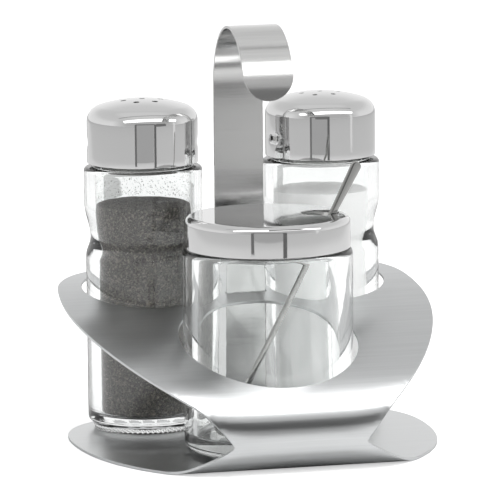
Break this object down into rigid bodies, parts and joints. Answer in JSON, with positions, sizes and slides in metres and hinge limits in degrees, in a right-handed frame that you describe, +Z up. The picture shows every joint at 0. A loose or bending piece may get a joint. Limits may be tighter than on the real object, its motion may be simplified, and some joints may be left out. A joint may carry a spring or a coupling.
{
  "type": "cruet set",
  "caption": "Table set: bent sheet stand with crook handle holding salt and pepper shakers and a lidded mustard jar with spoon.",
  "frame": {"origin": "middle of the set's bounding box, on the table", "axes": "+Z up; the jar and the fold are at the front, towards -Y; +X to the right seen from the front"},
  "size_m": [0.1244, 0.116, 0.1402],
  "materials": {
    "sheet_steel": "satin brushed stainless sheet, grain from side to side",
    "strip_steel": "satin brushed stainless strip",
    "polished_steel": "polished drawn stainless",
    "spoon_steel": "polished stainless",
    "shaker_glass": "clear pressed glass",
    "jar_glass": "clear pressed glass",
    "ground_pepper": "coarse ground black pepper",
    "table_salt": "fine white salt",
    "white_plastic": "moulded plastic, hidden inside the caps and the lid"
  },
  "bodies": {
    "stand": {"stand_sheet": "sheet_steel", "handle_strip": "strip_steel"},
    "pepper_shaker": {"pepper_glass": "shaker_glass", "pepper_fill": "ground_pepper"},
    "pepper_cap": {"pepper_cap_shell": "polished_steel", "pepper_cap_insert": "white_plastic"},
    "salt_shaker": {"salt_glass": "shaker_glass", "salt_fill": "table_salt"},
    "salt_cap": {"salt_cap_shell": "polished_steel", "salt_cap_insert": "white_plastic"},
    "jar": {"jar_glass": "jar_glass"},
    "jar_lid": {"jar_lid_shell": "polished_steel", "jar_lid_insert": "white_plastic"},
    "spoon": {"spoon": "spoon_steel"}
  },
  "joints": [
    {"name": "pepper_lift", "type": "slide", "parent": "stand", "child": "pepper_shaker", "axis": [0, 0, 1], "range_m": [0, 0.11]},
    {"name": "pepper_cap_lift", "type": "slide", "parent": "pepper_shaker", "child": "pepper_cap", "axis": [0, 0, 1], "range_m": [0, 0.03]},
    {"name": "salt_lift", "type": "slide", "parent": "stand", "child": "salt_shaker", "axis": [0, 0, 1], "range_m": [0, 0.11]},
    {"name": "salt_cap_lift", "type": "slide", "parent": "salt_shaker", "child": "salt_cap", "axis": [0, 0, 1], "range_m": [0, 0.03]},
    {"name": "jar_lift", "type": "slide", "parent": "stand", "child": "jar", "axis": [0, 0, 1], "range_m": [0, 0.022]},
    {"name": "jar_lid_lift", "type": "slide", "parent": "jar", "child": "jar_lid", "axis": [0, 0, 1], "range_m": [0, 0.012]},
    {"name": "spoon_slide", "type": "slide", "parent": "jar_lid", "child": "spoon", "axis": [0.4681, 0, 0.8837], "range_m": [0, 0.045]}
  ]
}
